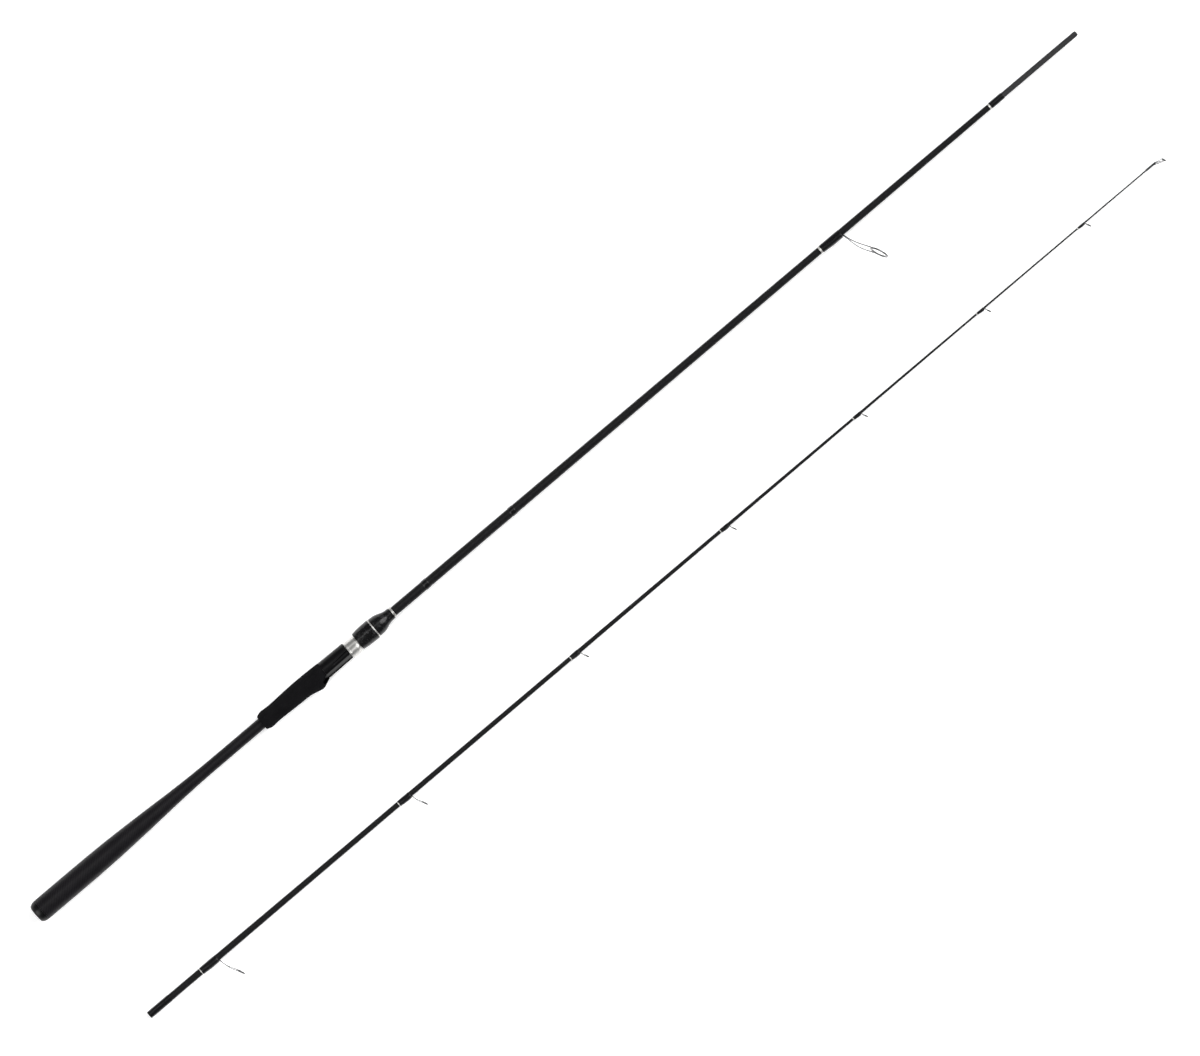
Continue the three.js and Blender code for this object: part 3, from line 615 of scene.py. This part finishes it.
def blanks():
    shoulder = BUTT_BLANK[-1][0]
    outside = smooth_through(BUTT_BLANK, 12)
    bore = [(shoulder, 2.4), (1000, 3.7), (27, 4.7)]
    tube = [*outside[:-1], (*outside[-1], 0.3), *bore]
    place(turned(filleted(tube), 64), "butt_blank_fine", BUTT, "butt_blank")

    end = shoulder + FERRULE_LENGTH
    ferrule = [
        (shoulder + 0.05, 0), (shoulder + 0.05, MALE_ROOT_RADIUS), (shoulder + 30, MALE_ROOT_RADIUS - 0.03),
        (shoulder + 70, MALE_ROOT_RADIUS - 0.09), (end, MALE_TIP_RADIUS, 2.4), (end, 0),
    ]
    look = ground_ferrule_look()
    place(turned(filleted(ferrule, 10), 64), "male_ferrule", BUTT, "butt_blank", look, stands_for=False)

    def fill(start, length, outer, inner, node):
        ring = [(start, outer, 0.4), (start + length, outer, 0.4), (start + length, inner), (start, inner)]
        place(turned(filleted(ring), 64), node + "_fine", BUTT, node)

    fill(40, 40, 12.2, 6, "rear_arbor")
    fill(160, 20, 8.9, 6, "front_arbor")
    for i, start in enumerate(SEAT_ARBOR_STARTS):
        fill(start, 22, SEAT_BORE - 0.1, 6.05, f"seat_arbor_{i + 1}")


# ---- Reel seat, hood and lock nut ------------------------------------------------------------


def foot_space():
    """The space for the reel foot: a pocket under the fixed hood, the bed, and a flat ahead of it."""
    outline = [
        (427, -BED_HEIGHT, 0.8), (THREAD_START, -BED_HEIGHT), (THREAD_START, -24), (438, -24),
        (433, -12, 1.2), (427, -10.4, 1),
    ]
    return prism(filleted(outline), FOOT_WIDTH)


def scoop(side):
    """The ellipsoid that hollows one side of the cradle for a finger."""
    quarter = [math.pi * k / 48 for k in range(49)]
    ball = turned([(-math.cos(a), math.sin(a) if 0 < a < math.pi else 0) for a in quarter])
    x, y, z = SCOOP_CENTRE
    ball.data.transform(Matrix.Translation((x, y, side * z)) @ Matrix.Diagonal((*SCOOP_RADII, 1)))
    return ball


def thread_wave(x, angle):
    """A rounded screw thread, steeper on its flanks than a plain wave."""
    wave = math.cos(TAU * x / THREAD_PITCH - angle)
    return THREAD_DEPTH * math.tanh(2.2 * wave) / math.tanh(2.2)


def thread_stations(start, end, radius):
    rows = round((end - start) * 12 / THREAD_PITCH)
    return [(start + (end - start) * k / rows, radius) for k in range(rows + 1)]


def reel_seat():
    hood = [(x, FIXED_HOOD_RADIUS) for x, _ in HOOD_RISE]
    outline = [
        (SEAT_START, SEAT_RADIUS, 0.6), (410, 9.4), *hood,
        (CRADLE_START, 11.15, 0.4), (460, 10.9), (CRADLE_END, 10.62, 0.9),
        (CRADLE_END, BARREL_RADIUS), (THREAD_START - 0.3, BARREL_RADIUS),
        *thread_stations(THREAD_START, BARREL_END - 0.4, BARREL_THREAD),
        (BARREL_END, BARREL_THREAD - 0.5), (BARREL_END, SEAT_BORE), (SEAT_START, SEAT_BORE),
    ]

    def radius_at(x, radius, angle, from_foot):
        if radius == FIXED_HOOD_RADIUS:
            return radius + hood_rise(x, from_foot)
        return radius + thread_wave(x, angle) if radius == BARREL_THREAD else radius

    body = turned(filleted(outline), 128, radius_at)
    low, high = KEYWAY_FLOOR, KEYWAY_FLOOR + 6
    back, front = CRADLE_END + 0.1, BARREL_END + 2
    slot = [(back, low, 0.4), (front, low), (front, high), (back, high)]
    tools = [foot_space(), prism(filleted(slot), KEYWAY_WIDTH), scoop(1), scoop(-1)]
    combined(body, tools, "DIFFERENCE")
    place(body, "reel_seat_fine", BUTT, "reel_seat_body", crease=28)

    pad = [(427.6, -10, 0.2), (432.6, -11.4, 0.2), (432.6, -10.7, 0.2), (427.6, -9.3, 0.2)]
    place(prism(filleted(pad), FOOT_WIDTH - 3), "fixed_hood_pad_fine", BUTT, "fixed_hood_pad")


def foam_grip():
    bore, hood_bore = 7, FIXED_HOOD_RADIUS + 0.6
    outside = smooth_through(FOAM[1:], 1.5)
    inside = [(x, hood_bore) for x, _ in HOOD_RISE[::-1]]
    outline = [
        (*FOAM[0], 0.8), *outside[:-1], (*outside[-1], 0.7), *inside,
        (SEAT_START - 0.3, 9.7), (SEAT_START - 0.3, bore), (FOAM[0][0], bore, 0.5),
    ]

    def radius_at(x, radius, angle, from_foot):
        if radius == hood_bore:
            return radius + hood_rise(x, from_foot)
        return radius + foam_rise(x, from_foot) if x > FOAM_BUMP[0][0] else radius

    body = turned(filleted(outline), 128, radius_at)
    combined(body, [foot_space()], "DIFFERENCE")
    place(body, "rear_foam_grip_fine", BUTT, "rear_foam_grip", crease=30)


def moving_hood():
    rim = HOOD_RADIUS + 0.25
    front = HOOD_END - 3
    skin = smooth_through([(HOOD_START + 2.3, HOOD_RADIUS), (front, HOOD_RADIUS), (HOOD_END, 9.1)], 0.7)
    outline = [
        (HOOD_START, rim, 0.3), (HOOD_START + 1.7, rim, 0.3), *skin[:-1], (*skin[-1], 0.4),
        (HOOD_END, 9.05), (HOOD_END + 1.8, 9.05), (HOOD_END + 1.8, 9.75, 0.2),
        (HOOD_END + 3, 9.75, 0.2), (HOOD_END + 3, HOOD_BORE), (HOOD_START, HOOD_BORE),
    ]
    swell = smooth_through(HOOD_SWELL, 0.5)

    def radius_at(x, radius, angle, from_foot):
        if radius <= 9.06 or x > HOOD_END:
            return radius
        return radius + along(swell, x) * bulge(from_foot, 0.5, 1.3)

    body = turned(filleted(outline), 128, radius_at)
    pocket = [
        (HOOD_START - 1, -BED_HEIGHT), (front, -BED_HEIGHT, 0.6),
        (front, -10.3, 0.8), (HOOD_START - 1, -11.2),
    ]
    combined(body, [prism(filleted(pocket), FOOT_WIDTH - 1)], "DIFFERENCE")
    low, high, back = 7.65, 9.05, HOOD_START + 1.5
    key = [(back, low, 0.3), (HOOD_END - 1.5, low, 0.3), (HOOD_END - 1.5, high), (back, high)]
    combined(body, [prism(filleted(key), KEY_WIDTH)], "UNION")
    place(body, "moving_hood_fine", BUTT, "moving_hood", crease=28)

    pad = [(481.2, -10.8, 0.2), (491.9, -10, 0.2), (491.9, -9.4, 0.2), (481.2, -10.1, 0.2)]
    place(prism(filleted(pad), FOOT_WIDTH - 3.5), "moving_hood_pad_fine", BUTT, "moving_hood_pad")


def lock_nut():
    bore = NUT_CORE + 0.1
    start = NUT_START + 3.4
    end = start + 13
    sleeve = [
        (NUT_START, NUT_CORE, 0.3), (NUT_SLEEVE_END, NUT_CORE, 0.3), (NUT_SLEEVE_END, NUT_THREAD + 0.5),
        (end, NUT_THREAD + 0.5), *thread_stations(start, end, NUT_THREAD)[::-1],
        (start, 10.05), (NUT_START + 1, 10.05), (NUT_START + 1, 9.36, 0.2), (NUT_START, 9.36, 0.2),
    ]

    def threaded(x, radius, angle, from_foot):
        return radius + thread_wave(x, angle) if radius == NUT_THREAD else radius

    place(turned(filleted(sleeve), 96, threaded), "nut_sleeve_fine", BUTT, "nut_sleeve")

    rear = smooth_through([(NUT_START, 11.25), *FOREGRIP_REAR, (NUT_SPLIT, 12.8)], 1)
    rear = [(*rear[0], 0.4), *rear[1:-1], (*rear[-1], 0.5), (NUT_SPLIT, bore), (NUT_START, bore)]
    place(turned(filleted(rear), 128), "foregrip_rear_fine", BUTT, "foregrip_rear")

    split, nose = NUT_SPLIT + 2, NUT_END - 0.3
    front = smooth_through([(split, 12.2), *FOREGRIP_FRONT, (nose, 7.1)], 0.8)
    front = [
        (*front[0], 0.4), *front[1:-1], (*front[-1], 0.2), (nose, 6.2), (541, 6.2),
        (NUT_SLEEVE_END + 2.5, 8.6), (NUT_SLEEVE_END + 0.3, 9.1), (NUT_SLEEVE_END + 0.3, bore),
        (split, bore),
    ]
    place(turned(filleted(front), 128), "foregrip_front_fine", BUTT, "foregrip_front")

    collar(NUT_SPLIT + 0.3, NUT_SPLIT + 1.7, bore, 12.95, BUTT, "nut_mid_ring")
    collar(NUT_END, NUT_END + 2.4, 6.2, 7.15, BUTT, "nut_front_ring")


def collar(start, end, inner, outer, matrix, node):
    edge = min(0.5, (outer - inner) / 2, (end - start) / 2.5)
    ring = [(start, outer, edge), (end, outer, edge), (end, inner), (start, inner)]
    place(turned(filleted(ring, 8), 96), node + "_fine", matrix, node)


# ---- Thread wraps ----------------------------------------------------------------------------


def wrap_outline(start, end, radius_at, thickness, round_end):
    """A coat of epoxy over thread: full thickness, and rounded down to the blank at its ends."""
    stations = [start + round_end * (1 - math.cos(TAU / 4 * k / 8)) for k in range(9)]
    count = max(2, round((end - start - 2 * round_end) / 1.5))
    stations += [start + round_end + (end - start - 2 * round_end) * k / count for k in range(1, count)]
    stations += [start + end - x for x in stations[8::-1]]
    outline = []
    for x in stations:
        rise = min(1, min(x - start, end - x) / round_end)
        outline.append((x, radius_at(x) + 0.05 + thickness * math.sqrt(max(0, 1 - (1 - rise) ** 2))))
    inner = [(end - (end - start) * k / 4, radius_at(end - (end - start) * k / 4)) for k in range(5)]
    return [*outline, *inner]


def thread_wrap(start, end, radius_at, thickness, matrix, node, foot=None, round_end=1.6):
    """foot is the guide whose foot the wrap holds down, where it has one."""
    lift, full = 0, 1
    if foot:
        blank = radius_at(end) + 0.1
        corner = math.hypot(blank + foot["foot_thickness"], foot["foot_width"] / 2)
        lift = 1.03 * corner - blank + 0.1
        full = math.atan2(foot["foot_width"] / 2, blank) + 0.35
    length = end - start
    rise = [(start, 0.15), (start + 0.25 * length, 0.6), (start + 0.5 * length, 1), (end, 1)]
    rise = smooth_through(rise, 1)

    def radius_of(x, radius, angle, from_foot):
        if radius <= radius_at(x) + 0.001:
            return radius
        end_fall = math.sqrt(min(1, max(0, end - x) / 1.2))
        return radius + lift * along(rise, x) * end_fall * bulge(from_foot, full, full + 0.8)

    outline = wrap_outline(start, end, radius_at, thickness, round_end)
    place(turned(outline, 96, radius_of if foot else None), node + "_fine", matrix, node)


def metal_winding(start, end, radius_at, matrix, name, node, stands_for):
    """Turns of metallic thread, side by side."""
    turns = max(3, round((end - start) / 0.34))
    pitch = (end - start) / turns
    outline = []
    for k in range(turns * 6 + 1):
        x = start + pitch * k / 6
        ridge = abs(math.sin(math.pi * k / 6))
        outline.append((x, radius_at(x) + 0.3 + 0.11 * ridge))
    outline += [(end, radius_at(end)), (start, radius_at(start))]
    look = LOOKS["polished_silver"]
    made = place(turned(outline, 64), name, matrix, node, look, stands_for, crease=50)


# ---- Line guides -----------------------------------------------------------------------------


def guide_sizes(guide, radius_at):
    blank, ring = radius_at(guide["root"]), guide["ring"]
    lead = GUIDE_LEAD * (guide["height"] - blank)
    return {
        **guide,
        "blank": blank,
        "centre": Vector((guide["root"] + lead, -guide["height"], 0)),
        "wire": 0.24 + 0.038 * ring,
        "holder": ring + 0.35 + 0.035 * ring,
        "holder_width": 0.5 + 0.1 * ring,
        "foot_thickness": 0.35 + 0.045 * ring,
        "foot_width": 0.9 + 0.2 * ring,
    }


def leaned(made, guide):
    """A ring turned about X, moved to its place on a guide and leaned towards the tip."""
    made.data.transform(Matrix.Translation(guide["centre"]) @ Matrix.Rotation(GUIDE_LEAN, 4, "Z"))
    return made


def guide_ring(guide, node, matrix):
    """The ceramic ring: rounded inside, with a lip over both faces of its holder."""
    outer, section_depth = guide["ring"] - 0.06, 0.45 + 0.12 * guide["ring"]
    half = guide["holder_width"] / 2 + 0.16
    bore = outer - section_depth
    middle = bore + 0.5 * section_depth
    inside = [
        (half * math.cos(math.pi * k / 16), middle - 0.5 * section_depth * math.sin(math.pi * k / 16))
        for k in range(17)
    ]
    outline = [(-half, outer - 0.08, 0.2), (half, outer - 0.08, 0.2), *inside]
    place(leaned(turned(filleted(outline), 72), guide), node + "_fine", matrix, node)


def ring_holder(guide):
    half = guide["holder_width"] / 2
    outline = [
        (-half, guide["holder"], 0.3 * half), (half, guide["holder"], 0.3 * half),
        (half, guide["ring"] - 0.02), (-half, guide["ring"] - 0.02),
    ]
    return leaned(turned(filleted(outline), 72), guide)


def guide_frame(guide, node, matrix):
    """Foot, two splayed legs and ring holder, pressed and joined in one."""
    root, blank, wire = guide["root"], guide["blank"], guide["wire"]
    seat = -(blank + 0.1)
    top = seat - guide["foot_thickness"]
    leg_root = root + wire + 0.3
    back = root - 0.92 * guide["wrap"]
    foot_path = [Vector((back + (leg_root + wire - back) * k / 12, 0, 0)) for k in range(13)]
    depths = [0.5 * guide["foot_thickness"] * min(1, 0.3 + k / 8) for k in range(13)]
    widths = [0.5 * guide["foot_width"] * min(1, 0.55 + k / 16) for k in range(13)]
    for point, depth in zip(foot_path, depths):
        point.y = seat - depth
    across = Vector((0, 0, 1))
    foot = swept(foot_path, widths, depths, across)

    grip = guide["holder"] - 0.15
    down = Vector((math.sin(GUIDE_LEAN), -math.cos(GUIDE_LEAN), 0))
    tools = [ring_holder(guide)]
    for side in (-1, 1):
        first = Vector((leg_root, top + 0.6 * wire, side * 0.25 * guide["foot_width"]))
        last = guide["centre"] - 0.55 * grip * down
        last.z = side * 0.835 * grip
        middle = first.lerp(last, 0.5)
        middle.x -= 0.05 * guide["height"]
        middle.z = side * (0.3 * guide["foot_width"] + 0.65 * grip)
        path = smooth_path([first, middle, last])
        count = len(path) - 1
        flare = [1 + 0.35 * abs(2 * k / count - 1) ** 3 for k in range(count + 1)]
        widths = [1.05 * wire * f for f in flare]
        depths = [0.95 * wire * f for f in flare]
        tools.append(swept(path, widths, depths, across))
    place(combined(foot, tools, "UNION"), node + "_fine", matrix, node)


def line_guide(sizes, radius_at, thickness, name, matrix):
    guide = guide_sizes(sizes, radius_at)
    start, end = guide["root"] - guide["wrap"], guide["root"]
    guide_frame(guide, name + "_frame", matrix)
    guide_ring(guide, name + "_ring", matrix)
    thread_wrap(start, end, radius_at, thickness, matrix, name + "_wrap", guide)


# ---- Tip section -----------------------------------------------------------------------------


def tip_radius(x):
    if x < SOCKET_LENGTH:
        return SOCKET_RADIUS - 0.2 * x / SOCKET_LENGTH
    return along(TIP_BLANK, x)


def tip_blanks():
    seam, seam_radius = TIP_BLANK[0]
    end = seam - 0.02
    sleeve = [
        (0.05, tip_radius(0), 0.2), (end, seam_radius), (end, 3.3), (SOCKET_DEPTH, 3.3),
        (FERRULE_LENGTH, MALE_TIP_RADIUS + 0.15), (0.05, MALE_ROOT_RADIUS + 0.15, 0.2),
    ]
    place(turned(filleted(sleeve), 64), "ferrule_sleeve_fine", TIP, "ferrule_sleeve")
    outside = smooth_through(TIP_BLANK, 12)
    tip_end = TIP_BLANK[-1][0]
    bore = [(1050, 0), (1050, 0.7), (610, 1.8), (SOCKET_DEPTH, 2.5)]
    blank = [(SOCKET_DEPTH, 3.2), (seam, 3.2), *outside, (tip_end, 0), *bore]
    place(turned(blank, 48), "tip_blank_fine", TIP, "tip_blank")

    outer, inner = FEMALE_WRAP_RADIUS, SOCKET_RADIUS + 0.1
    wrap = [(0, outer, 0.35), (FEMALE_WRAP_LENGTH, outer, 1.2), (FEMALE_WRAP_LENGTH, inner), (0, inner)]
    place(turned(filleted(wrap, 8), 96), "ferrule_wrap_fine", TIP, "ferrule_wrap")


def tip_top():
    start, end = TIP_TOP["start"], TIP_TOP["start"] + TIP_TOP["tube"]
    wire = TIP_TOP["wire"]
    bore = tip_radius(start) + 0.1
    outer = bore + 0.4
    guide = {
        "centre": Vector((end + TIP_TOP["lead"], -TIP_TOP["height"], 0)),
        "ring": TIP_TOP["ring"], "holder": TIP_TOP["ring"] + 0.5, "holder_width": 0.9,
    }
    sleeve = [
        (start, outer, 0.15), (end + 2, outer, 0.5), (end + 2, 0), (end, 0), (end, bore), (start, bore),
    ]
    body = turned(filleted(sleeve), 48)
    grip = guide["holder"] + 0.1
    centre, across = guide["centre"], Vector((0, 0, 1))
    routes = [
        [
            Vector((end + 0.6, 0, side * 0.6)),
            Vector((end + 5, -1.2, side * 1.5)),
            Vector((centre.x - 0.2, centre.y + 0.5, side * grip)),
        ]
        for side in (-1, 1)
    ]
    low = Vector((centre.x + grip * math.sin(GUIDE_LEAN), centre.y - grip * math.cos(GUIDE_LEAN), 0))
    routes.append([Vector((end - 1.5, -outer + 0.2, 0)), Vector((end + 4.5, -3.6, 0)), low])
    tools = [ring_holder(guide)]
    for route in routes:
        path = smooth_path(route)
        tools.append(swept(path, [wire] * len(path), [wire] * len(path), across))
    place(combined(body, tools, "UNION"), "tip_top_frame_fine", TIP, "tip_top_frame")
    guide_ring(guide, "tip_top_ring", TIP)


# ---- The whole rod ---------------------------------------------------------------------------

rear_grip()
blanks()
reel_seat()
foam_grip()
moving_hood()
lock_nut()
for number, middle in enumerate(THREAD_BAND_MIDDLES):
    band = (middle - THREAD_BAND_HALF, middle + THREAD_BAND_HALF)
    thread_wrap(*band, butt_radius, 0.5, BUTT, f"thread_band_{number + 1}", round_end=1.3)
line_guide(STRIPPER, butt_radius, 0.45, "stripper", BUTT)
wrap_start = STRIPPER["root"] - STRIPPER["wrap"]
trim = (wrap_start - STRIPPER_TRIM, wrap_start)
metal_winding(*trim, butt_radius, BUTT, "stripper_trim_fine", "stripper_trim", True)
thread_wrap(*FERRULE_STOP_WRAP, butt_radius, 0.5, BUTT, "ferrule_stop_wrap", round_end=1.8)
metal_winding(*FERRULE_STOP_TRIM, butt_radius, BUTT, "ferrule_stop_trim_fine", "ferrule_stop_trim", True)

tip_blanks()
for number, sizes in enumerate(TIP_GUIDES):
    name = f"guide_{number + 1}"
    line_guide(sizes, tip_radius, 0.35, name, TIP)
    wrap_start = sizes["root"] - sizes["wrap"]
    trim = (wrap_start - TIP_GUIDE_TRIM, wrap_start)
    metal_winding(*trim, tip_radius, TIP, name + "_trim", name + "_wrap", False)
tip_top()

# ---- Floor, light and camera, in metres ------------------------------------------------------

FLOOR_HALF = 30
FLOOR_GLOW = 0.35
WORLD_STRENGTH = 0.06
SUN_STRENGTH = 2.6
SUN_TILT = math.radians(50)
SUN_WIDTH = math.radians(50)
STRIP_PLACE = (0, 0.45, 1.5)
STRIP_LENGTH = 3.2
STRIP_WIDTH = 0.1
STRIP_POWER = 6
CAMERA_HEIGHT = 10
CAMERA_WIDTH = 1.4105
CAMERA_X = -0.002
CAMERA_FROM_BUTT = 0.082
CAMERA_TURN = math.radians(-40.28)
WHITE = (1, 1, 1, 1)


def floor():
    """A white floor that glows a little, as a light table does."""
    bm = bmesh.new()
    bmesh.ops.create_grid(bm, x_segments=2, y_segments=2, size=FLOOR_HALF)
    mesh = bpy.data.meshes.new("floor")
    bm.to_mesh(mesh)
    bm.free()
    made = bpy.data.objects.new("floor", mesh)
    bpy.context.scene.collection.objects.link(made)
    paper = {"Roughness": 0.9, "Specular IOR Level": 0.1, "Emission Strength": FLOOR_GLOW}
    look = Look("floor_look", paper)
    look.shader.inputs["Emission Color"].default_value = WHITE
    tone = look.mix(look.noise(0.002, 2.0), (0.9, 0.9, 0.9), (0.93, 0.93, 0.93))
    mesh.materials.append(look.finish(tone))


def strip():
    """A long thin light along the rod, aimed at the origin."""
    light = bpy.data.lights.new("strip", "AREA")
    light.shape = "RECTANGLE"
    light.size, light.size_y = STRIP_LENGTH, STRIP_WIDTH
    light.energy = STRIP_POWER
    made = bpy.data.objects.new("strip", light)
    made.location = STRIP_PLACE
    made.rotation_euler = (-Vector(STRIP_PLACE)).to_track_quat("-Z", "Y").to_euler()
    bpy.context.scene.collection.objects.link(made)


def sun(name, side):
    """A soft sun from past one end of the rod, so that its light does not cross the sections."""
    light = bpy.data.lights.new(name, "SUN")
    light.energy = SUN_STRENGTH
    light.angle = SUN_WIDTH
    made = bpy.data.objects.new(name, light)
    made.rotation_euler = (0, side * SUN_TILT, 0)
    bpy.context.scene.collection.objects.link(made)


def lights():
    """Two soft suns past the rod's ends light the floor, and a long strip lies overhead."""
    world = bpy.data.worlds.new("studio")
    bpy.context.scene.world = world
    world.use_nodes = True
    background = world.node_tree.nodes["Background"]
    background.inputs["Color"].default_value = WHITE
    background.inputs["Strength"].default_value = WORLD_STRENGTH
    sun("sun_past_tip", 1)
    sun("sun_past_butt", -1)
    strip()


def camera():
    """Straight above the rod, turned so that the sections run up to the right."""
    axis = BUTT.translation
    data = bpy.data.cameras.new("camera")
    data.lens = data.sensor_width * (CAMERA_HEIGHT - axis.z) / CAMERA_WIDTH
    data.clip_end = 100
    made = bpy.data.objects.new("camera", data)
    made.location = (CAMERA_X, axis.y - CAMERA_FROM_BUTT, CAMERA_HEIGHT)
    made.rotation_euler = (0, 0, CAMERA_TURN)
    bpy.context.scene.collection.objects.link(made)
    bpy.context.scene.camera = made


floor()
lights()
camera()
bpy.context.scene.view_settings.view_transform = "Standard"
